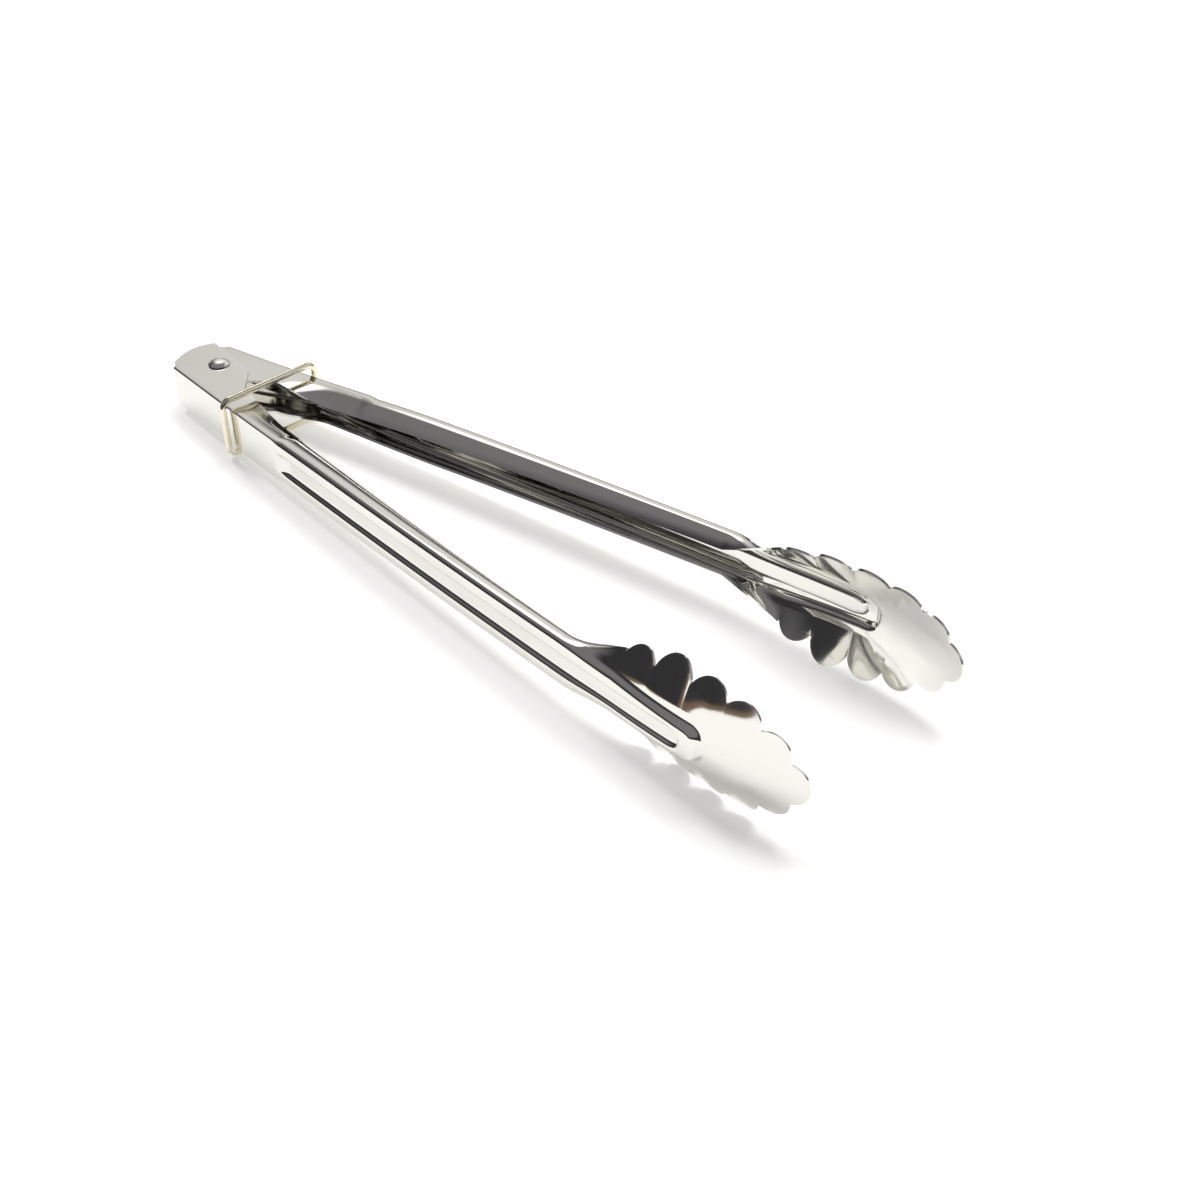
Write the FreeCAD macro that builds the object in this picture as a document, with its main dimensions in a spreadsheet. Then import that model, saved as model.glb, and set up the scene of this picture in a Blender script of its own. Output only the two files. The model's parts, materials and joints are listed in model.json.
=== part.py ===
import FreeCAD, Part
import math
import os
import Sketcher
from FreeCAD import Placement, Rotation, Vector

os.makedirs("parts", exist_ok=True)
doc = FreeCAD.newDocument("kitchen_tongs")

# ---------------------------------------------------------------- driving dimensions (mm, deg)
# Every piece is drawn in the hinge frame: origin on the rivet's axis half way up, +X towards
# the tips along the middle of the tongs, +Y towards the inner arm, +Z along the rivet.
DIMENSIONS = {
    "sheet": 0.8,               # thickness of the pressed steel of both arms
    "reach": 285.0,             # rivet axis to spoon tip, along the arm
    "half_opening": 7.5,        # each arm from the middle line, tongs open
    "web_offset": 13.3,         # rivet axis to the outside of the web
    "bow": 5.2,                 # how far the web curves in over bow_length
    "bow_length": 215.0,
    "ear_rear": 17.2,           # rivet axis to the rear of the ears
    "web_rear": 8.6,            # rivet axis to the rear edge of the web
    "ear_overhang": 7.0,        # ear past the rivet axis, towards the other arm
    "ear_front": 22.0,          # where the ear has narrowed to the flange
    "hinge_half_height": 7.2,   # outside half height of the outer arm at the hinge
    "handle_half_height": 7.9,  # outside half height of both handles
    "flange_depth": 10.6,       # flange of the handle near the hinge, web to free edge
    "neck_depth": 7.2,          # flange of the handle where the spoon starts
    "lip_drop": 3.6,            # how far the rolled flange leans in at its free edge
    "handle_start": 35.0,       # where the web starts to bow and the flanges are rolled
    "panel_end": 59.0,          # end of the flat, square-cornered panel, start of the groove
    "neck": 205.0,              # end of the flange, start of the spoon
    "flute_depth": 1.5,         # groove pressed along the web
    "flute_half_height": 2.6,
    "crest_half_height": 3.4,   # where the groove's wall reaches the web
    "nose": 256.0,              # end of the raised rib on the spoon
    "rib_proud": 1.4,           # rib above the spoon's middle line
    "tip_drop": 9.6,            # how far the spoon's tip curls in
    "spoon_half_width": 18.6,
    "lobe_radius": 6.3,         # scallops on the spoon's edge
    "rivet_radius": 2.4,
    "rivet_clearance": 0.06,    # rivet shank in the ears
    "head_radius": 3.7,
    "head_height": 1.5,
    "ear_gap": 0.12,            # between the outer and the inner ears, and under the heads
    "wire": 2.3,                # locking ring wire diameter
    "ring_slack": 0.7,          # ring to each web, tongs open
    "ring_rise": 0.75,          # ring to the flanges' outer faces
    "ring_corner": 3.2,         # bend radius of the ring's wire, on its middle line
    "ring_station": 28.2,       # ring along the middle line, tongs open
    "spring_wire": 1.3,
    "spring_turns": 4.0,        # whole turns, before the part turn that aims the legs
    "coil_gap": 0.35,           # coil to the rivet's shank
    "turn_gap": 0.2,
    "spring_leg": 33.0,         # rivet axis to the end of each leg
    "leg_gap": 0.35,            # leg to the inside of the web
}
sheet_obj = doc.addObject("Spreadsheet::Sheet", "dimensions")
for row, (alias, value) in enumerate(DIMENSIONS.items(), start=1):
    sheet_obj.set("A%d" % row, alias)
    sheet_obj.set("B%d" % row, str(value))
    sheet_obj.setAlias("B%d" % row, alias)
doc.recompute()


def dim(alias):
    return float(sheet_obj.get(alias))


SHEET = dim("sheet")
REACH = dim("reach")
ALPHA = dim("half_opening")
PANEL_END = dim("panel_end")
NECK = dim("neck")
NOSE = dim("nose")
HALF_WIDTH = dim("spoon_half_width")


def blend(x, knots):
    """Straight-line interpolation between (x, y) knots."""
    if x <= knots[0][0]:
        return knots[0][1]
    for (x0, y0), (x1, y1) in zip(knots, knots[1:]):
        if x <= x1:
            return y0 + (y1 - y0) * (x - x0) / (x1 - x0)
    return knots[-1][1]


def smooth(x, start, end):
    """0 before start, 1 after end, a smooth step between."""
    s = min(max((x - start) / (end - start), 0.0), 1.0)
    return s * s * (3.0 - 2.0 * s)


def web_line(u):
    """Outside of the web: flat at the hinge, then a shallow arc that curves in to the tips."""
    past = max(u - dim("handle_start"), 0.0)
    return dim("web_offset") - dim("bow") * (past / dim("bow_length")) ** 2


def dish_line(u):
    """Outside of the spoon along its middle: under the rib, then curving in to the tip."""
    drop = max(u - (NECK + 20.0), 0.0) / (REACH - NECK - 20.0)
    return web_line(u) - dim("rib_proud") - dim("tip_drop") * drop ** 2.4


def half_height(u, inset):
    """Outside half height of the channel; inset makes the inner arm's hinge end smaller."""
    hinge = dim("hinge_half_height") - inset
    return hinge + (dim("handle_half_height") - hinge) * smooth(u, dim("handle_start") - 8.0, 95.0)


def channel_side(u, inset):
    """Upper half of the outside section of the handle: free edge, roll, shoulder, web, flute."""
    web = web_line(u)
    top = half_height(u, inset)
    roll = smooth(u, dim("handle_start") - 12.0, dim("handle_start") + 14.0)
    depth = blend(u, [(dim("handle_start"), dim("flange_depth")), (NECK, dim("neck_depth"))])
    corner = 1.0 + 0.6 * smooth(u, PANEL_END - 1.0, PANEL_END + 4.0)
    flute = dim("flute_depth") * smooth(u, PANEL_END, PANEL_END + 8.0)
    return [
        (web - depth, top - dim("lip_drop") * roll),
        (web - 0.62 * depth, top - 0.22 * dim("lip_drop") * roll),
        (web - corner, top),
        (web, top - corner),
        (web, dim("crest_half_height")),
        (web - flute, dim("flute_half_height")),
    ]


def spoon_side(u):
    """Upper half of the outside section of the spoon: edge, wing, rib root, rib, flute."""
    centre = dish_line(u)
    fade = 1.0 - smooth(u, NOSE - 8.0, NOSE + 1.0)
    crest = centre + (web_line(u) - centre) * fade
    width = blend(u, [(NECK + 19.0, 13.4), (NECK + 24.0, HALF_WIDTH + 1.0)])
    curl = blend(u, [(NECK + 19.0, 0.034), (NECK + 30.0, 0.0265), (NECK + 43.0, 0.0215),
                     (NECK + 65.0, 0.015), (REACH, 0.010)])
    rib = blend(u, [(NECK + 19.0, 5.9), (NOSE, 4.3), (REACH, 4.3)])
    flute = dim("flute_depth") * (1.0 - smooth(u, NOSE - 12.0, NOSE - 3.0))

    def wing(z):
        return (centre - curl * z * z, z)

    crest_z = min(dim("crest_half_height"), rib - 1.0)
    return [
        wing(width),
        wing(0.62 * width),
        wing(rib + 0.9),
        (crest - curl * rib * rib * (1.0 - fade), rib),
        (crest - curl * crest_z ** 2 * (1.0 - fade), crest_z),
        (crest - flute, dim("flute_half_height") - 0.5 * smooth(u, NECK, NOSE)),
    ]


def side_at(u, inset):
    """The spoon flares out of the channel over the first centimetres past the neck."""
    start, end = NECK - 1.0, NECK + 19.0
    mix = smooth(u, start, end)
    if mix <= 0.0:
        return channel_side(u, inset)
    if mix >= 1.0:
        return spoon_side(u)
    near, far = channel_side(u, inset), spoon_side(end)
    shift = web_line(u) - web_line(end)
    flare = [(u - start) / (end - start)] + 5 * [mix]
    return [(a[0] + (b[0] + shift - a[0]) * f, a[1] + (b[1] - a[1]) * f)
            for a, b, f in zip(near, far, flare)]


def sheet_section(u, inset):
    """Closed section of the sheet in the plane across the arm at u."""
    upper = side_at(u, inset)
    outer = upper + [(v, -z) for v, z in reversed(upper)]
    inner = []
    for i, (v, z) in enumerate(outer):
        before = outer[max(i - 1, 0)]
        after = outer[min(i + 1, len(outer) - 1)]
        normals = []
        for a, b in ((before, (v, z)), ((v, z), after)):
            length = math.hypot(b[0] - a[0], b[1] - a[1])
            if length > 1e-9:
                normals.append(((b[1] - a[1]) / length, -(b[0] - a[0]) / length))
        nv = sum(n[0] for n in normals)
        nz = sum(n[1] for n in normals)
        size = math.hypot(nv, nz)
        nv, nz = nv / size, nz / size
        cosine = max(nv * normals[0][0] + nz * normals[0][1], 0.5)
        inner.append((v + nv * SHEET / cosine, z + nz * SHEET / cosine))
    points = [Vector(u, v, z) for v, z in outer + inner[::-1]]
    return Part.makePolygon(points + points[:1])


def extrude_outline(wire, direction):
    return Part.Face(wire).extrude(direction)


def lobe_centres():
    """Centres of the round lobes on the upper edge, from the spoon's shoulder to its tip."""
    lobe = dim("lobe_radius")
    inset = HALF_WIDTH - lobe
    return [
        (NECK + 14.6, inset - 4.0),
        (NECK + 25.2, inset - 2.9),
        (NECK + 36.7, inset),
        (NECK + 48.7, inset - 0.3),
        (NECK + 59.4, inset - 1.9),
        (REACH - 11.5, inset - 6.1),
        (REACH - lobe, 0.0),
    ]


def scallop_outline():
    """The arm's blank seen along +Y: a long strip, then a spoon with round lobes on its edge."""
    lobe = dim("lobe_radius")
    upper = lobe_centres()
    first = upper[0][0]
    tall = HALF_WIDTH + 2.0
    strip = Part.makeBox(first + 40.0, 60.0, 2.0 * tall, Vector(-40.0, -30.0, -tall))
    rim = [(first - 1.0, upper[0][1])] + upper
    rim += [(x, -z) for x, z in reversed(rim[:-1])]
    core = [Vector(x, -30.0, z) for x, z in rim]
    pieces = [strip, extrude_outline(Part.makePolygon(core + core[:1]), Vector(0, 60, 0))]
    for x, z in sorted(set(upper + [(x, -z) for x, z in upper])):
        pieces.append(Part.makeCylinder(lobe, 60.0, Vector(x, -30.0, z), Vector(0, 1, 0)))
    return pieces[0].multiFuse(pieces[1:])


def ear_plate(top, flange_edge):
    """One ear, a flat plate whose outer face is at z = top, reaching past the rivet."""
    web = dim("web_offset")
    rear = dim("ear_rear")
    over = dim("ear_overhang")
    front = dim("ear_front")
    inside = web - 0.5 * SHEET
    corner = Vector(-dim("web_rear"), inside, 0)
    back = Vector(-rear, 0.0, 0)
    far = Vector(-math.sqrt(rear ** 2 - over ** 2), -over, 0)
    step = Vector(0.5 * front, -0.8 * over, 0)
    neck = Vector(front, flange_edge, 0)
    end = Vector(front + 4.0, flange_edge, 0)
    close = Vector(front + 4.0, inside, 0)
    edges = [
        Part.Arc(corner, back, far).toShape(),
        Part.makeLine(far, step),
        Part.makeLine(step, neck),
        Part.makeLine(neck, end),
        Part.makeLine(end, close),
        Part.makeLine(close, corner),
    ]
    plate = extrude_outline(Part.Wire(edges), Vector(0, 0, SHEET))
    plate.translate(Vector(0, 0, top - SHEET))
    return plate


def arm_shape(inset):
    """One arm drawn with its web on +Y: pressed channel and spoon, two ears, the rivet holes."""
    start = -dim("web_rear")
    handle = dim("handle_start")
    stations = [start, 12.0, handle - 10.0, handle - 2.0, handle + 5.0, handle + 14.0,
                PANEL_END - 1.0, PANEL_END + 1.5, PANEL_END + 4.0, PANEL_END + 8.0,
                90.0, 125.0, 165.0, NECK - 14.0, NECK - 2.0, NECK + 4.0, NECK + 9.0,
                NECK + 14.0, NECK + 19.0, NECK + 24.0, NECK + 31.0, NECK + 38.0, NOSE - 11.0, NOSE - 6.0,
                NOSE - 2.0, NOSE + 3.0, NOSE + 12.0, NOSE + 20.0, REACH + 1.0]
    body = Part.makeLoft([sheet_section(u, inset) for u in stations], True, True)
    body = body.common(scallop_outline())
    top = dim("hinge_half_height") - inset
    flange_edge = web_line(0.0) - dim("flange_depth")
    upper = ear_plate(top, flange_edge)
    lower = upper.mirror(Vector(0, 0, 0), Vector(0, 0, 1))
    body = body.multiFuse([upper, lower]).removeSplitter()
    hole = dim("rivet_radius") + dim("rivet_clearance")
    bore = Part.makeCylinder(hole, 4.0 * top, Vector(0, 0, -2.0 * top))
    return body.cut(bore)


def arm_node(name, inset, side):
    """Part::Feature of one arm: side is +1 for the arm on +Y and -1 for its mirror on -Y."""
    shape = arm_shape(inset)
    if side < 0:
        shape = shape.mirror(Vector(0, 0, 0), Vector(0, 1, 0))
    node = doc.addObject("Part::Feature", name)
    node.Shape = shape
    node.Label = name
    node.Placement = Placement(Vector(0, 0, 0), Rotation(Vector(0, 0, 1), side * ALPHA))
    return node


# ---------------------------------------------------------------- the two arms
# Each arm is one strip of stainless sheet pressed into a channel whose section changes all the
# way from the hinge to the scalloped spoon, so it is lofted through sections and trimmed to
# its blank. The inner arm's ears slip between the outer arm's.
INNER_INSET = SHEET + dim("ear_gap")
outer_arm = arm_node("outer_arm", 0.0, -1)
inner_arm = arm_node("inner_arm", INNER_INSET, 1)


def origin_plane(body, role):
    return next(item for item in body.Origin.OriginFeatures if item.Role == role)


def sketch_on(body, name, role):
    sketch = body.newObject("Sketcher::SketchObject", name)
    sketch.AttachmentSupport = [(origin_plane(body, role), "")]
    sketch.MapMode = "FlatFace"
    return sketch


# ---------------------------------------------------------------- hinge rivet
# Solid steel rivet with a domed head at both ends, turned about the hinge axis.
rivet_body = doc.addObject("PartDesign::Body", "rivet_body")
profile = sketch_on(rivet_body, "rivet_profile", "XZ_Plane")
shank = dim("rivet_radius")
head = dim("head_radius")
seat = dim("hinge_half_height") + dim("ear_gap")
crown = seat + dim("head_height")
centre = (crown ** 2 - seat ** 2 - head ** 2) / (2.0 * (crown - seat))
dome = crown - centre
rise = math.atan2(seat - centre, head)
XY = Vector(0, 0, 1)
lines = [((0, -crown), (0, crown)), ((head, seat), (shank, seat)),
         ((shank, seat), (shank, -seat)), ((shank, -seat), (head, -seat))]
for (x0, y0), (x1, y1) in lines:
    profile.addGeometry(Part.LineSegment(Vector(x0, y0, 0), Vector(x1, y1, 0)))
upper = Part.Circle(Vector(0, centre, 0), XY, dome)
lower = Part.Circle(Vector(0, -centre, 0), XY, dome)
profile.addGeometry(Part.ArcOfCircle(upper, rise, math.pi / 2))
profile.addGeometry(Part.ArcOfCircle(lower, -math.pi / 2, -rise))
for first, first_end, second, second_end in ((0, 2, 4, 2), (4, 1, 1, 1), (1, 2, 2, 1), (2, 2, 3, 1),
                                             (3, 2, 5, 2), (5, 1, 0, 1)):
    profile.addConstraint(Sketcher.Constraint("Coincident", first, first_end, second, second_end))
profile.addConstraint(Sketcher.Constraint("PointOnObject", 0, 1, -2))
profile.addConstraint(Sketcher.Constraint("PointOnObject", 0, 2, -2))
profile.addConstraint(Sketcher.Constraint("Horizontal", 1))
profile.addConstraint(Sketcher.Constraint("Vertical", 2))
profile.addConstraint(Sketcher.Constraint("Horizontal", 3))
profile.addConstraint(Sketcher.Constraint("PointOnObject", 4, 3, -2))
profile.addConstraint(Sketcher.Constraint("PointOnObject", 5, 3, -2))


def driven(sketch, kind, first, first_point, second, second_point, value, expression):
    """A distance between two points of a sketch, bound to the spreadsheet."""
    row = sketch.addConstraint(
        Sketcher.Constraint(kind, first, first_point, second, second_point, value))
    sketch.setExpression("Constraints[%d]" % row, expression)


SEAT = "dimensions.hinge_half_height + dimensions.ear_gap"
driven(profile, "DistanceX", -1, 1, 2, 1, shank, "dimensions.rivet_radius")
driven(profile, "DistanceX", -1, 1, 1, 1, head, "dimensions.head_radius")
driven(profile, "DistanceX", -1, 1, 3, 2, head, "dimensions.head_radius")
driven(profile, "DistanceY", -1, 1, 1, 1, seat, SEAT)
driven(profile, "DistanceY", 3, 2, -1, 1, seat, SEAT)
driven(profile, "DistanceY", -1, 1, 0, 2, crown, SEAT + " + dimensions.head_height")
driven(profile, "DistanceY", 0, 1, -1, 1, crown, SEAT + " + dimensions.head_height")
turning = rivet_body.newObject("PartDesign::Revolution", "rivet_turning")
turning.Profile = profile
turning.ReferenceAxis = (profile, ["V_Axis"])
turning.Angle = 360.0
rivet_body.Label = "hinge_rivet"


# ---------------------------------------------------------------- torsion spring
# Round spring wire: a close coil round the rivet's shank and one straight leg to each web.
def spring_shape():
    wire = 0.5 * dim("spring_wire")
    radius = dim("rivet_radius") + dim("coil_gap") + wire
    reach = dim("spring_leg")
    side = web_line(reach) - SHEET - dim("leg_gap") - wire
    turn = math.radians(ALPHA)
    tip_x = reach * math.cos(turn) - side * math.sin(turn)
    tip_y = reach * math.sin(turn) + side * math.cos(turn)
    start = math.atan2(tip_y, tip_x) + math.acos(radius / math.hypot(tip_x, tip_y))
    sweep = 2.0 * math.pi * (dim("spring_turns") + 1.0) - 2.0 * start
    height = (dim("spring_wire") + dim("turn_gap")) * sweep / (2.0 * math.pi)
    root = Vector(radius * math.cos(start), radius * math.sin(start), -0.5 * height)
    end = Vector(tip_x, tip_y, -0.5 * height)
    leg = [end + (root - end) * (i / 8.0) for i in range(8)]
    count = round(12 * sweep / (2.0 * math.pi))
    coil = []
    for i in range(count + 1):
        angle = start + sweep * i / count
        level = height * (i / count - 0.5)
        coil.append(Vector(radius * math.cos(angle), radius * math.sin(angle), level))
    curve = Part.BSplineCurve()
    curve.interpolate(leg + coil + [Vector(p.x, -p.y, -p.z) for p in reversed(leg)])
    round_wire = Part.Wire(Part.makeCircle(wire, end, root - end))
    return Part.Wire(curve.toShape()).makePipeShell([round_wire], True, False)


spring = doc.addObject("Part::Feature", "torsion_spring")
spring.Shape = spring_shape()
spring.Label = "torsion_spring"


# ---------------------------------------------------------------- locking ring
# One loop of round wire, butt welded, drawn as a pipe round a rectangle with bent corners.
# Its inside clears both webs and both flanges, and it slides along the middle line.
turn = math.radians(ALPHA)
station = dim("ring_station")
web_y = station * math.tan(turn) + web_line(station / math.cos(turn)) / math.cos(turn)
half_y = web_y + dim("ring_slack") + 0.5 * dim("wire")
half_z = dim("handle_half_height") + dim("ring_rise") + 0.5 * dim("wire")
bend = dim("ring_corner")
ring_body = doc.addObject("PartDesign::Body", "ring_body")
path = sketch_on(ring_body, "ring_path", "YZ_Plane")
flat_y = half_y - bend
flat_z = half_z - bend
strands = [((-flat_y, half_z), (flat_y, half_z)), ((half_y, flat_z), (half_y, -flat_z)),
           ((flat_y, -half_z), (-flat_y, -half_z)), ((-half_y, -flat_z), (-half_y, flat_z))]
for (x0, y0), (x1, y1) in strands:
    path.addGeometry(Part.LineSegment(Vector(x0, y0, 0), Vector(x1, y1, 0)))
corners = [((flat_y, flat_z), 0.0), ((flat_y, -flat_z), -90.0),
           ((-flat_y, -flat_z), 180.0), ((-flat_y, flat_z), 90.0)]
for (x, y), angle in corners:
    begin = math.radians(angle)
    circle = Part.Circle(Vector(x, y, 0), XY, bend)
    path.addGeometry(Part.ArcOfCircle(circle, begin, begin + math.pi / 2))
for strand in range(4):
    path.addConstraint(Sketcher.Constraint("Tangent", strand, 2, 4 + strand, 2))
    path.addConstraint(Sketcher.Constraint("Tangent", 4 + strand, 1, (strand + 1) % 4, 1))
for corner in (5, 6, 7):
    path.addConstraint(Sketcher.Constraint("Equal", 4, corner))
path.addConstraint(Sketcher.Constraint("Symmetric", 0, 1, 0, 2, -2))
path.addConstraint(Sketcher.Constraint("Symmetric", 1, 1, 1, 2, -1))
row = path.addConstraint(Sketcher.Constraint("Radius", 4, bend))
path.setExpression("Constraints[%d]" % row, "dimensions.ring_corner")
RING_Z = "dimensions.handle_half_height + dimensions.ring_rise + 0.5 * dimensions.wire"
driven(path, "DistanceY", -1, 1, 0, 1, half_z, RING_Z)
path.addConstraint(Sketcher.Constraint("DistanceX", -1, 1, 1, 1, half_y))
section = sketch_on(ring_body, "ring_section", "XZ_Plane")
section.addGeometry(Part.Circle(Vector(0, half_z, 0), XY, 0.5 * dim("wire")))
section.addConstraint(Sketcher.Constraint("PointOnObject", 0, 3, -2))
driven(section, "DistanceY", -1, 1, 0, 3, half_z, RING_Z)
row = section.addConstraint(Sketcher.Constraint("Radius", 0, 0.5 * dim("wire")))
section.setExpression("Constraints[%d]" % row, "0.5 * dimensions.wire")
loop = ring_body.newObject("PartDesign::AdditivePipe", "ring_loop")
loop.Profile = section
loop.Spine = (path, ["Edge%d" % (i + 1) for i in range(8)])
ring_body.Label = "locking_ring"
ring_body.Placement = Placement(Vector(station, 0, 0), Rotation())

# ---------------------------------------------------------------- how the open tongs lie
# The tongs lie on the bottom of the locking ring and on the lowest lobes of both spoons, so
# the hinge end is lower. The origin is under the middle of the whole object, on the table.
doc.recompute()
NODES = [outer_arm, inner_arm, rivet_body, spring, ring_body]
ring_low = half_z + 0.5 * dim("wire")
lobe_x, lobe_z = lobe_centres()[2]
lobe_low = lobe_z + dim("lobe_radius")
lean = math.degrees(math.atan((lobe_low - ring_low) / (lobe_x * math.cos(turn) - station)))
lying = Placement(Vector(0, 0, 0), Rotation(Vector(0, 1, 0), -lean))
for node in NODES:
    node.Placement = lying.multiply(node.Placement)
doc.recompute()
box = FreeCAD.BoundBox()
for node in NODES:
    box.add(node.Shape.optimalBoundingBox(False, False))
under = Vector(box.Center.x, box.Center.y, box.ZMin)
for node in NODES:
    place = node.Placement
    node.Placement = Placement(place.Base - under, place.Rotation)
doc.recompute()

for item in doc.Objects:
    if "Invalid" in item.State or "Error" in item.State:
        raise RuntimeError("%s: %s" % (item.Name, item.State))
for node in NODES:
    if node.Shape.isNull() or not node.Shape.isValid():
        raise RuntimeError("%s has no valid shape" % node.Label)
    node.Shape.exportStep("parts/%s.step" % node.Label)
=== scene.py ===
import json
import math

import bpy
import numpy as np
from mathutils import Matrix, Vector


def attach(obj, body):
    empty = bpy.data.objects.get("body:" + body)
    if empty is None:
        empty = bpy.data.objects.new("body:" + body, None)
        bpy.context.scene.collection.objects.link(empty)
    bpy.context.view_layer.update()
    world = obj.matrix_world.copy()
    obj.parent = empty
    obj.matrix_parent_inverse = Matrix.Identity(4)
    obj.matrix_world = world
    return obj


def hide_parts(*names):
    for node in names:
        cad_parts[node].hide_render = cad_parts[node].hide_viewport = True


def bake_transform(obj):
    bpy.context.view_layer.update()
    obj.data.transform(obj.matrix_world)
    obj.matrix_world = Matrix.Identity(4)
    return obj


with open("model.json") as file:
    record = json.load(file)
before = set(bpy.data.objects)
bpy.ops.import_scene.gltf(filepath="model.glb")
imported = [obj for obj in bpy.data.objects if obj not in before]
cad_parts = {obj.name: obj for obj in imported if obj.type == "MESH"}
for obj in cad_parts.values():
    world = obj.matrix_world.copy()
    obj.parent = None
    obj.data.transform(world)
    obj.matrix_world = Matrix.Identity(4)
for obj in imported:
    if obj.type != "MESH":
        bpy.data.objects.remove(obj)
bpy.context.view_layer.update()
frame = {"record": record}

# ---------------------------------------------------------------------------------------------
# The hinge. Everything is drawn in millimetres in the hinge's own axes: x runs from the rivet to
# the tips along the middle of the tongs, z along the rivet. The tongs lie on their ring and on
# the spoons' lowest lobes, so those axes lean a little in the frame. The joints say how much.
joints = {joint["name"]: joint for joint in frame["record"]["behaviour"]["joints"]}
rivet_point = np.array(joints["outer_arm_swing"]["pos_m"])
rivet_axis = np.array(joints["outer_arm_swing"]["axis"])
middle_line = np.array(joints["ring_slide"]["axis"])
across = np.cross(rivet_axis, middle_line)
half_opening = math.radians(7.5)


def to_frame(points):
    """Hinge millimetres to frame metres: the rivet's place plus each coordinate on its axis."""
    points = np.asarray(points, dtype=float) * 0.001
    return rivet_point + (points[..., :1] * middle_line + points[..., 1:2] * across
                          + points[..., 2:3] * rivet_axis)


def swung(points, side):
    """An arm drawn with its web on +y, mirrored for side -1 and opened by the half opening."""
    u, v, z = points[..., 0], points[..., 1], points[..., 2]
    c, s = math.cos(half_opening), math.sin(half_opening)
    return np.stack([u * c - v * s, side * (u * s + v * c), z], axis=-1)


# ---------------------------------------------------------------------------------------------
# Outer arm and inner arm. Each is one strip of 0.8 mm stainless sheet, cut to a blank with a
# scalloped end, then pressed: two flat ears at the hinge, a channel with rolled flanges and a
# groove along its web, and a dished spoon on which the web runs out as a rounded rib.
sheet = 0.8
reach, neck, nose = 285.0, 205.0, 256.0
web_offset, bow, bow_length = 13.3, 5.2, 215.0
web_rear, ear_rear, ear_overhang, ear_front = 8.6, 17.2, 7.0, 22.0
hinge_half, handle_half, inner_inset = 7.2, 7.9, 0.92
handle_start, panel_end = 35.0, 59.0
flange_deep, flange_shallow, lip_drop = 10.6, 7.2, 3.6
flute_depth, flute_half, crest_half = 1.5, 2.6, 3.6
spoon_half, lobe = 18.6, 6.3
rib_proud, tip_drop, tip_power = 1.4, 9.6, 2.4
flare_start, flare_end, dish_start = neck - 1.0, neck + 19.0, neck + 20.0
edge_fade = 1.6
ear_step, ear_seam = 0.9, 27.0
lobes = np.array([[neck + 14.6, -4.0], [neck + 25.2, -2.9], [neck + 36.7, 0.0], [neck + 48.7, -0.3],
                  [neck + 59.4, -1.9], [reach - 11.5, -6.1], [reach - lobe, lobe - spoon_half]])


def ease(x, start, end):
    """0 before start, 1 after end and a smooth cubic step between."""
    s = np.clip((x - start) / (end - start), 0.0, 1.0)
    return s * s * (3.0 - 2.0 * s)


def web_line(u):
    """Outside of the web: flat along the hinge panel, then a shallow parabola inwards."""
    return web_offset - bow * (np.clip(u - handle_start, 0.0, None) / bow_length) ** 2


def dish_line(u):
    """Outside of the spoon along its middle: just under the rib, then curling in to the tip."""
    drop = np.clip(u - dish_start, 0.0, None) / (reach - dish_start)
    return web_line(u) - rib_proud - tip_drop * drop ** tip_power


def blank_edge(u):
    """Half width of the spoon's blank: the highest of the round lobes that cover u."""
    rise = lobe ** 2 - (u[:, None] - lobes[:, 0]) ** 2
    height = np.where(rise > 0.0, spoon_half - lobe + lobes[:, 1] + np.sqrt(np.abs(rise)), 0.0)
    return height.max(axis=1)


def rows(*columns):
    """Stacks x, y and z arrays, or plain numbers, into points of shape (stations, 3)."""
    return np.stack(np.broadcast_arrays(*columns), axis=-1)


def arm_stations():
    """Where sections are taken: even steps that get finer on the spoon and at every notch."""
    middles = 0.5 * (lobes[:-1, 0] + lobes[1:, 0]) + 0.4
    close = (middles[:, None] + np.array([-0.5, -0.25, -0.1, 0.0, 0.1, 0.25, 0.5])).ravel()
    tip = reach - 0.03 - lobe * (1.0 - np.cos(np.linspace(0.0, 1.1, 34)))
    plain = [np.linspace(-web_rear, ear_seam, 72), np.arange(28.0, flare_start, 2.4),
             np.arange(panel_end - 2.0, panel_end + 9.0, 0.7),
             np.arange(flare_start, reach - 4.0, 0.5), close, tip]
    return np.unique(np.round(np.concatenate(plain), 3))


def ear_outline(count):
    """The ear's free edge at even steps of its length: an arc round the rear, then a straight
    side past the rivet and a slanted run back to the flange."""
    turn = np.linspace(math.atan2(web_offset - ear_step, -web_rear), math.pi + 0.41, 60)
    radius = np.interp(turn, [turn[0], math.pi, turn[-1]],
                       [math.hypot(web_offset - ear_step, web_rear), ear_rear, ear_rear - 0.05])
    arc = np.stack([radius * np.cos(turn), radius * np.sin(turn)], axis=-1)
    flange = web_offset - flange_deep
    middle = 0.5 * ear_front
    run = np.array([[middle - 2.0, -0.82 * ear_overhang], [middle, -0.74 * ear_overhang],
                    [middle + 1.2, -0.60 * ear_overhang],
                    [ear_front - 1.0, flange - 1.2], [ear_front + 0.6, flange - 0.1],
                    [ear_seam, flange]])
    line = np.concatenate([arc, run])
    length = np.concatenate([[0.0], np.cumsum(np.hypot(*np.diff(line, axis=0).T))])
    at = np.linspace(0.0, length[-1], count)
    return np.interp(at, length, line[:, 0]), np.interp(at, length, line[:, 1])


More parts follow.
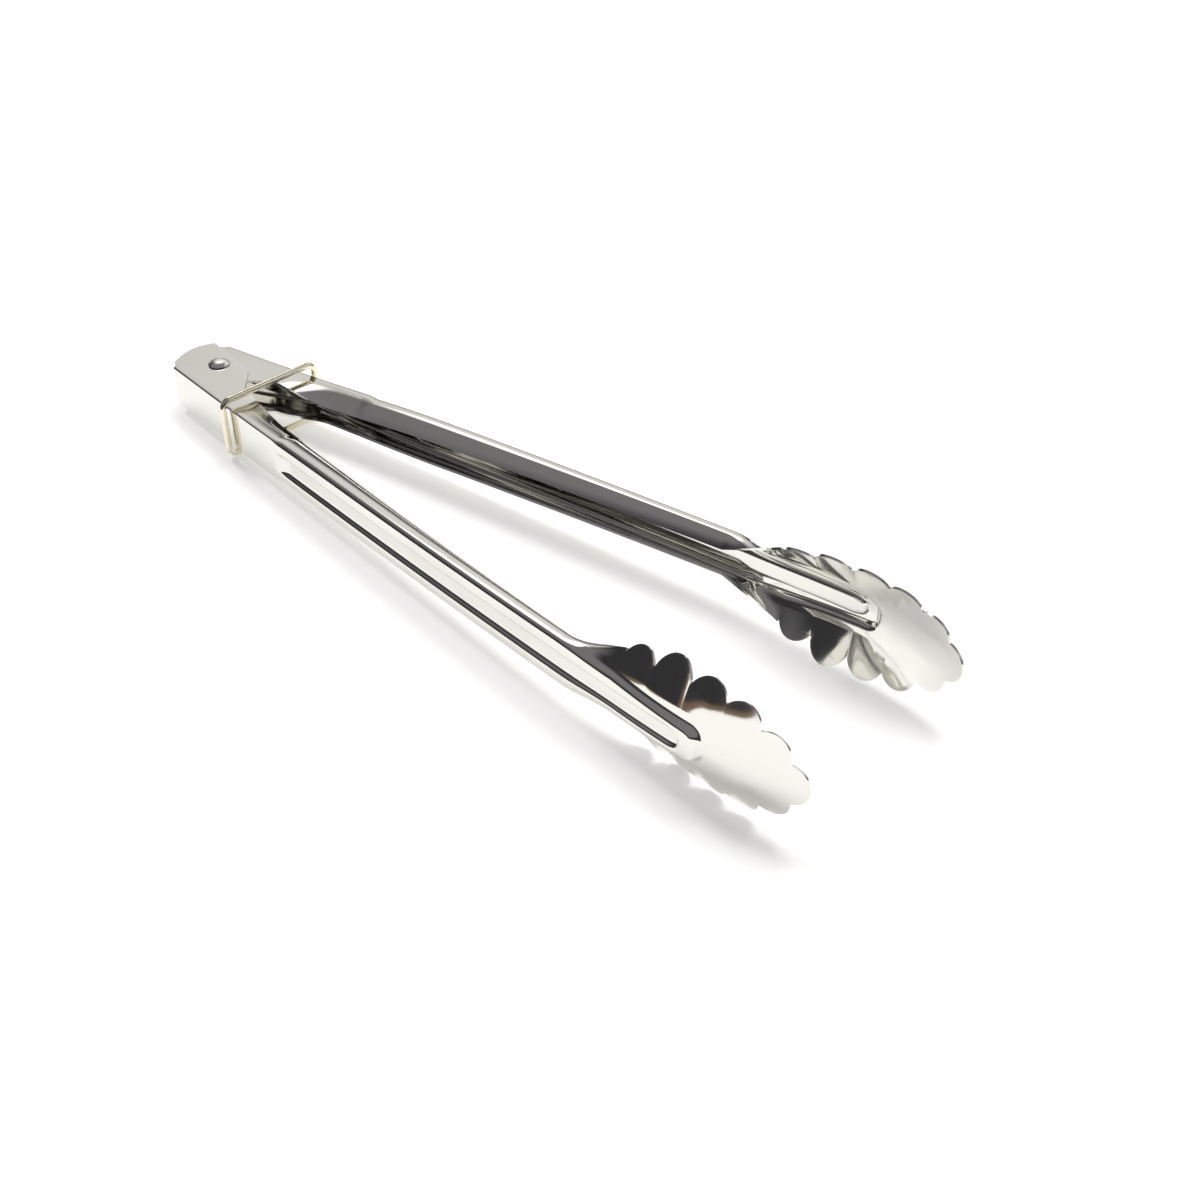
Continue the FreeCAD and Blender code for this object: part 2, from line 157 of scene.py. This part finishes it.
def arm_controls(u, inset):
    """Corner points of the upper half section at every station, from the free edge to the
    middle of the groove: the channel's corners and the spoon's, mixed over the flare."""
    web = web_line(u)
    hinge = hinge_half - inset
    top = hinge + (handle_half - hinge) * ease(u, handle_start - 8.0, 95.0)
    roll = ease(u, handle_start - 12.0, handle_start + 14.0)
    depth = np.interp(u, [handle_start, neck], [flange_deep, flange_shallow])
    edge_u, edge_v = u.copy(), web - depth
    at_ear = u < ear_seam + 0.01
    edge_u[at_ear], edge_v[at_ear] = ear_outline(at_ear.sum())
    corner = 0.9 + 1.3 * ease(u, panel_end - 1.0, panel_end + 4.0)
    flute = flute_depth * ease(u, panel_end, panel_end + 8.0)
    shoulder = rows(u, web - corner - 0.3 - 0.9 * roll, top)
    edge = rows(edge_u, edge_v, top - lip_drop * roll)
    bend = 0.5 * (edge + shoulder)
    bend[:, 2] += 1.35 * roll
    channel = [edge, bend, shoulder, rows(u, web - 0.5 * corner, top - 0.06 * corner),
               rows(u, web - 0.06 * corner, top - 0.5 * corner),
               rows(u, web, crest_half), rows(u, web - flute, flute_half),
               rows(u, web - flute, 0.0)]

    s = np.maximum(u, flare_end)
    centre = dish_line(s) + web - web_line(s)
    curl = np.interp(s, [flare_end, neck + 30.0, neck + 43.0, neck + 65.0, reach],
                     [0.034, 0.0265, 0.0215, 0.015, 0.010])
    width = np.maximum(blank_edge(s), 0.25)
    run_out = np.clip((s - (nose - 5.0)) / 5.0, 0.0, 1.0)
    proud = rib_proud + 0.6 * (web_line(s) - dish_line(s) - rib_proud)
    proud = proud * (1.0 - ease(s, nose - 2.6, nose + 0.4))
    rib = np.interp(s, [flare_end, nose - 5.0], [5.9, 4.5]) * np.sqrt(1.0 - 0.92 * run_out ** 2)
    groove_end = np.clip((s - (nose - 11.0)) / 5.0, 0.0, 1.0)
    groove = flute_depth * (1.0 - ease(s, nose - 7.4, nose - 5.6))
    groove_half = 2.3 * np.sqrt(1.0 - 0.9 * groove_end ** 2)
    squeeze = np.where(s > nose + 2.0, np.minimum(1.0, 0.6 * width / 7.6), 1.0)

    def wing(z, lift=0.0):
        return rows(u, centre + lift - curl * z * z, z)

    # The wings are straighter behind the rib's nose and more hollow just past it.
    start = (rib + 3.0) * squeeze
    deeper = 0.75 * (ease(s, nose - 8.0, nose) - ease(s, nose + 8.0, nose + 16.0))
    hollow = 0.25 * curl * (width - start) ** 2
    hollow *= 1.0 - 0.7 * ease(s, nose - 1.0, nose - 11.0) + deeper
    bend = rows(u, centre - 0.5 * curl * (width ** 2 + start ** 2) + hollow,
                0.5 * (width + start))
    spoon = [wing(width), bend, wing(start), wing((rib + 0.9) * squeeze),
             wing(rib * squeeze, proud), wing((groove_half + 0.9 * (rib > 3.4)) * squeeze, proud),
             wing(groove_half * squeeze, proud - groove), wing(0.0 * s, proud - groove)]
    flare = np.clip((u - flare_start) / (flare_end - flare_start), 0.0, 1.0)[:, None]
    mix = ease(u, flare_start, flare_end)[:, None]
    return [a + (b - a) * (flare if i == 0 else mix)
            for i, (a, b) in enumerate(zip(channel, spoon))]


def half_section(controls, setback):
    """The upper half of each section, in smooth runs through its corner points: a parabola over
    the flange or wing, then a parabola round each corner that starts a setback away from it."""
    edge, bend, start = controls[:3]
    t = np.linspace(0.0, 1.0, 19)[None, :, None]
    pieces = [(1 - t) ** 2 * edge[:, None] + 2 * t * (1 - t) * bend[:, None]
              + t * t * start[:, None]]
    corners = controls[2:]
    t = np.linspace(0.0, 1.0, 7)[None, :, None]
    for before, here, after in zip(corners, corners[1:], corners[2:]):
        back, ahead = before - here, after - here
        for way in (back, ahead):
            length = np.linalg.norm(way, axis=1, keepdims=True) + 1e-9
            way *= np.minimum(setback, 0.46 * length) / length
        pieces.append(here[:, None] + (1 - t) ** 2 * back[:, None] + t * t * ahead[:, None])
    pieces.append(corners[-1][:, None])
    return np.concatenate(pieces, axis=1)


def grid_normals(grid):
    """Unit normals of a grid of points: the cross product of its two central differences."""
    normal = np.cross(np.gradient(grid, axis=0), np.gradient(grid, axis=1))
    return normal / (np.linalg.norm(normal, axis=-1, keepdims=True) + 1e-12)


def wall_mesh(name, outside, inside, flip):
    """A closed sheet from two grids: both faces and the cut rim all round, in quads. The point
    attribute "edge" is 1 along the free edges and fades to 0 within a few points of them; the
    sheet's material uses it for duller cut edges and a painted highlight along them."""
    n, m = outside.shape[:2]
    index = np.arange(n * m).reshape(n, m)
    a, b, c, d = index[:-1, :-1], index[:-1, 1:], index[1:, 1:], index[1:, :-1]
    front = np.stack([a, b, c, d], axis=-1).reshape(-1, 4)
    back = front[:, ::-1] + n * m
    loop = np.concatenate([index[0, :-1], index[:-1, -1], index[-1, :0:-1], index[:0:-1, 0]])
    after = np.roll(loop, -1)
    rim = np.stack([after, loop, loop + n * m, after + n * m], axis=-1)
    faces = np.concatenate([front, back, rim])
    if flip:
        faces = faces[:, ::-1]
    points = np.concatenate([outside.reshape(-1, 3), inside.reshape(-1, 3)])
    mesh = bpy.data.meshes.new(name)
    mesh.from_pydata(points.tolist(), [], faces.tolist())
    away = np.minimum(np.arange(m), m - 1 - np.arange(m))
    near = np.exp(-np.tile(away, 2 * n) / edge_fade)
    mesh.attributes.new("edge", "FLOAT", "POINT").data.foreach_set("value", near.astype(np.float32))
    mesh.shade_smooth()
    mesh.set_sharp_from_angle(angle=math.radians(46))
    piece = bpy.data.objects.new(name, mesh)
    bpy.context.scene.collection.objects.link(piece)
    return piece


def pressed_arm(name, inset, side):
    """The arm's outside grid over stations and section, and its inside a sheet's thickness in."""
    u = arm_stations()
    upper = half_section(arm_controls(u, inset), setback=0.8)
    lower = upper[:, -2::-1] * np.array([1.0, 1.0, -1.0])
    outside = np.concatenate([upper, lower], axis=1)
    normal = grid_normals(outside)
    if normal[len(u) // 3, outside.shape[1] // 2, 1] < 0.0:
        normal = -normal
    inside = outside - sheet * normal
    return wall_mesh(name, to_frame(swung(outside, side)), to_frame(swung(inside, side)), side > 0)


class Shade:
    """Builds a material's nodes. A Shade holds one socket, and + - * on Shades or numbers add
    Math nodes."""
    def __init__(self, tree, socket):
        self.tree, self.socket = tree, socket

    def node(self, kind, output=0, settings=None, **inputs):
        """Adds a node: its settings first, then the values or links of its inputs by name, where
        an input's number is written as in_0."""
        node = self.tree.nodes.new(kind)
        for key, value in (settings or {}).items():
            setattr(node, key, value)
        for key, value in inputs.items():
            socket = node.inputs[int(key[3:]) if key.startswith("in_") else key.replace("_", " ")]
            if isinstance(value, Shade):
                self.tree.links.new(value.socket, socket)
            else:
                socket.default_value = value
        return Shade(self.tree, node.outputs[output])

    def maths(self, operation, first, second=0.0):
        return self.node("ShaderNodeMath", settings={"operation": operation}, in_0=first, in_1=second)

    def __add__(self, other): return self.maths("ADD", self, other)
    def __radd__(self, other): return self.maths("ADD", other, self)
    def __sub__(self, other): return self.maths("SUBTRACT", self, other)
    def __rsub__(self, other): return self.maths("SUBTRACT", other, self)
    def __mul__(self, other): return self.maths("MULTIPLY", self, other)
    def __rmul__(self, other): return self.maths("MULTIPLY", other, self)

    def band(self, low, high):
        """0 below low, 1 above high, smooth between."""
        return self.node("ShaderNodeMapRange", settings={"interpolation_type": "SMOOTHSTEP"},
                         Value=self, From_Min=low, From_Max=high)

    def noise(self, place, scale, detail=3.0, stretch=(1.0, 1.0, 1.0), turn=0.0):
        """Noise on a place vector that is first turned about z, then stretched."""
        placed = self.node("ShaderNodeMapping", settings={"vector_type": "TEXTURE"}, Vector=place,
                           Rotation=(0.0, 0.0, turn), Scale=stretch)
        return self.node("ShaderNodeTexNoise", Vector=placed, Scale=scale, Detail=detail)

    def mix(self, factor, first, second):
        """Colour mix of two colours."""
        return self.node("ShaderNodeMix", output=2, settings={"data_type": "RGBA"},
                         in_0=factor, in_6=first, in_7=second)


def metal(name):
    """A new metal material: its Principled shader and a Shade to build from."""
    material = bpy.data.materials.new(name)
    material.use_nodes = True
    shader = material.node_tree.nodes["Principled BSDF"]
    shader.inputs["Metallic"].default_value = 1.0
    return material, shader, Shade(material.node_tree, None)


def feed(shader, shade, name):
    shade.tree.links.new(shade.socket, shader.inputs[name])


def polished_sheet(name, turn):
    """Mirror polished stainless: fine drawing lines along the arm, thumb smears, a few hairline
    scratches, a slight waviness from the press, duller cut edges, and a painted highlight that
    makes the colour brighter along the free edges."""
    material, shader, shade = metal(name)
    place = shade.node("ShaderNodeTexCoord", output="Object")
    edge = shade.node("ShaderNodeAttribute", output="Fac", settings={"attribute_name": "edge"})
    lines = shade.noise(place, 900.0, 2.0, (14.0, 1.0, 1.0), turn)
    smear = shade.noise(place, 42.0, 5.0, (1.6, 1.0, 1.0), turn).band(0.50, 0.72)
    grease = shade.noise(place, 150.0, 3.0).band(0.42, 0.75)
    hair = shade.noise(place, 330.0, 1.0, (30.0, 1.0, 1.0), turn + 0.35).band(0.70, 0.74)
    cross = shade.noise(place, 300.0, 1.0, (34.0, 1.0, 1.0), turn - 0.5).band(0.71, 0.75)
    scratch = (hair + cross) * 0.5
    wave = shade.noise(place, 34.0, 1.0, (3.0, 1.0, 1.0), turn)
    dull = shade.mix(smear * 0.5 + scratch * 0.3, (0.80, 0.79, 0.75, 1), (0.70, 0.69, 0.655, 1))
    # Painted highlight: the colour is made brighter along the free edges, where the edges catch the
    # light.
    colour = shade.mix(edge * 0.6, dull, (0.86, 0.86, 0.85, 1))
    feed(shader, colour, "Base Color")
    feed(shader, 0.055 + smear * grease * 0.10 + lines * 0.05 + scratch * 0.12 + edge * 0.10,
         "Roughness")
    height = wave * 0.9 + lines * 0.005 - scratch * 0.012
    bump = shade.node("ShaderNodeBump", Height=height, Strength=0.22, Distance=0.0006)
    feed(shader, bump, "Normal")
    return material


outer_arm = pressed_arm("outer_arm_sheet", 0.0, -1)
outer_arm.data.materials.append(polished_sheet("polished_outer_sheet", -half_opening))
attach(outer_arm, "outer_arm")
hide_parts("outer_arm")

inner_arm = pressed_arm("inner_arm_sheet", inner_inset, 1)
inner_arm.data.materials.append(polished_sheet("polished_inner_sheet", half_opening))
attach(inner_arm, "inner_arm")
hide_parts("inner_arm")

# ---------------------------------------------------------------------------------------------
# Hinge rivet. A solid steel rivet with a low domed head on both sides.
shank, head, head_height, ear_gap = 2.4, 3.7, 1.5, 0.12


def lathe(name, radius, level, steps):
    """A closed turned piece: a profile of radius and level carried round the rivet's axis. The
    profile starts and ends on the axis."""
    turn = np.linspace(0.0, 2.0 * math.pi, steps, endpoint=False)
    ring = np.stack(np.broadcast_arrays(radius[1:-1, None] * np.cos(turn),
                                        radius[1:-1, None] * np.sin(turn),
                                        level[1:-1, None]), axis=-1)
    n, m = ring.shape[:2]
    index = np.arange(n * m).reshape(n, m)
    after = np.roll(index, -1, axis=1)
    sides = np.stack([index[:-1], after[:-1], after[1:], index[1:]], axis=-1).reshape(-1, 4)
    poles = np.array([[0.0, 0.0, level[0]], [0.0, 0.0, level[-1]]])
    points = to_frame(np.concatenate([ring.reshape(-1, 3), poles]))
    low = [[n * m, b, a] for a, b in zip(index[0], after[0])]
    high = [[n * m + 1, a, b] for a, b in zip(index[-1], after[-1])]
    mesh = bpy.data.meshes.new(name)
    mesh.from_pydata(points.tolist(), [], sides.tolist() + low + high)
    mesh.shade_smooth()
    mesh.set_sharp_from_angle(angle=math.radians(50))
    piece = bpy.data.objects.new(name, mesh)
    bpy.context.scene.collection.objects.link(piece)
    return piece


seat = hinge_half + ear_gap
dome = np.linspace(0.0, math.pi / 2, 22)
cap_radius = head * np.sin(dome)
cap_level = seat + 0.30 + (head_height - 0.32) * (1.0 - (cap_radius / head) ** 3.0)
upper_radius = np.concatenate([[shank, shank, head - 0.15], cap_radius[::-1]])
upper_level = np.concatenate([[0.0, seat, seat], cap_level[::-1]])
profile_radius = np.concatenate([upper_radius[::-1], upper_radius[1:]])
profile_level = np.concatenate([-upper_level[::-1], upper_level[1:]])
rivet = lathe("domed_rivet", profile_radius, profile_level, 64)
material, shader, shade = metal("rivet_steel_polished")
place = shade.node("ShaderNodeTexCoord", output="Object")
dents = shade.noise(place, 700.0, 3.0)
marks = shade.noise(place, 1500.0, 2.0).band(0.55, 0.75)
feed(shader, shade.mix(marks * 0.5, (0.86, 0.85, 0.83, 1), (0.70, 0.69, 0.67, 1)), "Base Color")
feed(shader, 0.14 + dents * 0.10 + marks * 0.10, "Roughness")
feed(shader, shade.node("ShaderNodeBump", Height=dents * 0.6 - marks * 0.4, Strength=0.35,
                        Distance=0.0003), "Normal")
rivet.data.materials.append(material)
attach(rivet, "hinge")
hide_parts("hinge_rivet")


# ---------------------------------------------------------------------------------------------
# Locking ring. Nickel plated wire bent to a rectangle with round corners and butt welded on one
# long side. It slides on the arms and holds them shut when it is pushed forward.
wire, ring_slack, ring_rise, ring_corner, ring_station = 2.3, 0.7, 0.75, 3.2, 28.2


def tube(name, path, radius, closed):
    """A round wire: a circle carried along a path, square to it at every point. radius is one
    number per path point. An open tube ends in flat faces."""
    if closed:
        ahead = np.roll(path, -1, axis=0) - np.roll(path, 1, axis=0)
    else:
        ahead = np.gradient(path, axis=0)
    ahead /= np.linalg.norm(ahead, axis=1, keepdims=True)
    up = np.cross(ahead, [0.31, 0.11, 0.95])
    up /= np.linalg.norm(up, axis=1, keepdims=True)
    side = np.cross(ahead, up)
    turn = np.linspace(0.0, 2.0 * math.pi, 20, endpoint=False)[None, :, None]
    ring = path[:, None] + radius[:, None, None] * (up[:, None] * np.cos(turn)
                                                    + side[:, None] * np.sin(turn))
    n, m = ring.shape[:2]
    index = np.arange(n * m).reshape(n, m)
    after = np.roll(index, -1, axis=1)
    if closed:
        low, high = index, np.roll(index, -1, axis=0)
        low_after, high_after = after, np.roll(after, -1, axis=0)
    else:
        low, high, low_after, high_after = index[:-1], index[1:], after[:-1], after[1:]
    faces = np.stack([low, high, high_after, low_after], axis=-1).reshape(-1, 4)[:, ::-1].tolist()
    if not closed:
        faces += [index[0, ::-1].tolist(), index[-1].tolist()]
    mesh = bpy.data.meshes.new(name)
    mesh.from_pydata(to_frame(ring.reshape(-1, 3)).tolist(), [], faces)
    mesh.shade_smooth()
    piece = bpy.data.objects.new(name, mesh)
    bpy.context.scene.collection.objects.link(piece)
    return piece


def ring_path():
    """Rounded rectangle round both arms: four straight strands joined by quarter circles, with
    points close together in the corners."""
    slope = math.tan(half_opening)
    half_y = (ring_station * slope + web_line(ring_station / math.cos(half_opening))
              / math.cos(half_opening) + ring_slack + 0.5 * wire)
    half_z = handle_half + ring_rise + 0.5 * wire
    flat_y, flat_z = half_y - ring_corner, half_z - ring_corner
    pieces = []
    for quarter, (y, z) in enumerate([(1, 1), (-1, 1), (-1, -1), (1, -1)]):
        turn = math.pi / 2 * (quarter + np.linspace(0.0, 1.0, 13))
        pieces.append(np.stack([y * flat_y + ring_corner * np.cos(turn),
                                z * flat_z + ring_corner * np.sin(turn)], axis=-1))
    line = np.concatenate(pieces + [pieces[0][:1]])
    length = np.concatenate([[0.0], np.cumsum(np.hypot(*np.diff(line, axis=0).T))])
    at = np.linspace(0.0, length[-1], 280, endpoint=False)
    y, z = np.interp(at, length, line[:, 0]), np.interp(at, length, line[:, 1])
    return np.stack([np.full_like(y, ring_station), y, z], axis=-1)


path = ring_path()
weld_place, weld_length, weld_swell = -4.0, 0.9, 0.015
from_weld = np.linalg.norm(path - [ring_station, weld_place, -path[:, 2].max()], axis=1)
weld = np.exp(-(from_weld / weld_length) ** 2)
ring = tube("wire_ring", path, 0.5 * wire * (1.0 - weld_swell + weld_swell * weld), True)
material, shader, shade = metal("warm_nickel_plate")
place = shade.node("ShaderNodeTexCoord", output="Object")
cloud = shade.noise(place, 120.0, 4.0).band(0.40, 0.70)
rub = shade.noise(place, 420.0, 3.0, (1.0, 3.0, 1.0)).band(0.52, 0.70)
pits = shade.noise(place, 2600.0, 2.0).band(0.62, 0.74)
plate = shade.mix(cloud, (0.80, 0.74, 0.58, 1), (0.86, 0.82, 0.70, 1))
feed(shader, shade.mix(rub * 0.4, plate, (0.78, 0.77, 0.74, 1)), "Base Color")
feed(shader, 0.12 + cloud * 0.07 + rub * 0.12 + pits * 0.10, "Roughness")
feed(shader, shade.node("ShaderNodeBump", Height=rub * 0.5 - pits * 0.6, Strength=0.3,
                        Distance=0.0002), "Normal")
ring.data.materials.append(material)
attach(ring, "ring")
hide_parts("locking_ring")

# ---------------------------------------------------------------------------------------------
# Torsion spring. Drawn spring wire wound in a close coil round the rivet, with a straight leg
# that bears on the inside of each web. The coil stays on the rivet.
spring_wire, spring_turns, spring_leg = 1.3, 4.0, 33.0
coil_gap, turn_gap, leg_gap = 0.35, 0.2, 0.35
coil_radius = shank + coil_gap + 0.5 * spring_wire
leg_v = web_line(spring_leg) - sheet - leg_gap - 0.5 * spring_wire
leg_end = swung(np.array([spring_leg, leg_v, 0.0]), 1)
coil_start = (math.atan2(leg_end[1], leg_end[0])
              + math.acos(coil_radius / math.hypot(leg_end[0], leg_end[1])))
sweep = 2.0 * math.pi * (spring_turns + 1.0) - 2.0 * coil_start
coil_height = (spring_wire + turn_gap) * sweep / (2.0 * math.pi)
t = np.linspace(0.0, 1.0, 260)
turn = coil_start + sweep * t
coil_path = np.stack([coil_radius * np.cos(turn), coil_radius * np.sin(turn),
                      coil_height * (t - 0.5)], axis=-1)
coil = tube("spring_coil", coil_path, np.full(len(t), 0.5 * spring_wire), False)
leg_root = coil_path[0]
leg_end = np.array([leg_end[0], leg_end[1], leg_root[2]])
t = np.linspace(0.0, 1.0, 60)[:, None]
legs = {"inner_arm": leg_root + (leg_end - leg_root) * t}
legs["outer_arm"] = legs["inner_arm"] * np.array([1.0, -1.0, -1.0])
material, shader, shade = metal("drawn_spring_wire")
place = shade.node("ShaderNodeTexCoord", output="Object")
drawn = shade.noise(place, 1400.0, 2.0, (9.0, 2.0, 1.0))
oil = shade.noise(place, 260.0, 3.0).band(0.45, 0.70)
feed(shader, shade.mix(oil, (0.58, 0.57, 0.55, 1), (0.42, 0.41, 0.39, 1)), "Base Color")
feed(shader, 0.24 + drawn * 0.14 + oil * 0.06, "Roughness")
feed(shader, shade.node("ShaderNodeBump", Height=drawn, Strength=0.2, Distance=0.0002), "Normal")
coil.data.materials.append(material)
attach(coil, "hinge")
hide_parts("torsion_spring")
for body, line in legs.items():
    leg = tube("spring_leg_" + body, line, np.full(len(line), 0.5 * spring_wire), False)
    leg.data.materials.append(material)
    tuple(to_frame(line[2]))
    tuple(to_frame(line[-6]))
    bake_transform(leg)
    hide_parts("torsion_spring")

# ---------------------------------------------------------------------------------------------
# The table, the light and the camera. Two sun lamps light a white table and don't show in the
# steel. What the steel reflects is the world: a dark room with a wide soft light on the inner
# arm's side, a small bright lamp high over the hinge end, a grey ceiling, and a low brown band
# on the outer arm's side.
table_half, table_glow = 9.0, 0.36
table = bpy.data.meshes.new("table")
corners = [(x * table_half, y * table_half, 0) for x, y in ((-1, -1), (1, -1), (1, 1), (-1, 1))]
table.from_pydata(corners, [], [(0, 1, 2, 3)])
floor = bpy.data.objects.new("table", table)
bpy.context.scene.collection.objects.link(floor)
material = bpy.data.materials.new("white_table")
material.use_nodes = True
paper = material.node_tree.nodes["Principled BSDF"]
paper.inputs["Base Color"].default_value = (0.92, 0.92, 0.915, 1)
paper.inputs["Roughness"].default_value = 0.8
paper.inputs["Specular IOR Level"].default_value = 0.0
paper.inputs["Emission Color"].default_value = (1.0, 0.995, 0.985, 1)
paper.inputs["Emission Strength"].default_value = table_glow
table.materials.append(material)

for name, power, spread, down in (("key", 1.0, 14.0, (0.66, -0.06, -0.75)),
                                  ("top", 1.1, 24.0, (0.10, -0.36, -0.93))):
    sun = bpy.data.lights.new(name, "SUN")
    sun.energy, sun.angle, sun.color = power, math.radians(spread), (1.0, 0.995, 0.98)
    light = bpy.data.objects.new(name, sun)
    bpy.context.scene.collection.objects.link(light)
    light.rotation_euler = Vector(down).to_track_quat("-Z", "Y").to_euler()
    light.visible_glossy = False

world = bpy.data.worlds.new("studio")
bpy.context.scene.world = world
world.use_nodes = True
sky = Shade(world.node_tree, None)
way = sky.node("ShaderNodeTexCoord", output="Generated")
split = world.node_tree.nodes.new("ShaderNodeSeparateXYZ")
world.node_tree.links.new(way.socket, split.inputs[0])
x, y, z = (Shade(world.node_tree, split.outputs[i]) for i in range(3))
dark_room, ceiling_glow, softbox_glow, lamp_glow, bench_glow = 0.04, 0.17, 0.70, 2.6, 0.14
softbox = y.band(0.12, 0.50) * z.band(0.05, 0.42) * (1.0 - z.band(0.62, 0.92))
lamp = (y * 0.351 - x * 0.577 + z * 0.737).band(0.972, 0.996)
ceiling = z.band(0.35, 0.75)
bench = (1.0 - y.band(-0.45, 0.05)) * z.band(-0.02, 0.0) * (1.0 - z.band(0.05, 0.07))
glow = (dark_room + ceiling * ceiling_glow + softbox * softbox_glow + lamp * lamp_glow
        + bench * bench_glow)
tint = sky.mix(softbox + lamp + ceiling * 0.5, (0.93, 0.90, 1.0, 1), (1.0, 0.99, 0.955, 1))
background = world.node_tree.nodes["Background"]
sky_colour = sky.mix(bench, tint, (1.0, 0.62, 0.42, 1))
world.node_tree.links.new(sky_colour.socket, background.inputs["Color"])
world.node_tree.links.new(glow.socket, background.inputs["Strength"])

camera_turn, camera_height, camera_roll = (math.radians(a) for a in (44.75, 34.93, -1.72))
camera_distance, focal = 480.8, 51.34
aim = np.array([189.06, -7.68, 0.0])
back = np.array([math.sin(camera_turn) * math.cos(camera_height),
                 -math.cos(camera_turn) * math.cos(camera_height), math.sin(camera_height)])
right = np.cross([0.0, 0.0, 1.0], back)
right /= np.linalg.norm(right)
up = np.cross(back, right)
c, s = math.cos(camera_roll), math.sin(camera_roll)
right, up = c * right + s * up, c * up - s * right
axes = [to_frame(axis * 1000.0) - to_frame(np.zeros(3)) for axis in (right, up, back)]
eye = to_frame(aim + back * camera_distance)
lens = bpy.data.cameras.new("camera")
lens.lens, lens.sensor_width, lens.clip_start = focal, 36.0, 0.01
camera = bpy.data.objects.new("camera", lens)
bpy.context.scene.collection.objects.link(camera)
camera.matrix_world = Matrix([[axes[0][i], axes[1][i], axes[2][i], eye[i]] for i in range(3)]
                             + [[0, 0, 0, 1]])
bpy.context.scene.camera = camera
bpy.context.scene.view_settings.view_transform = "Standard"
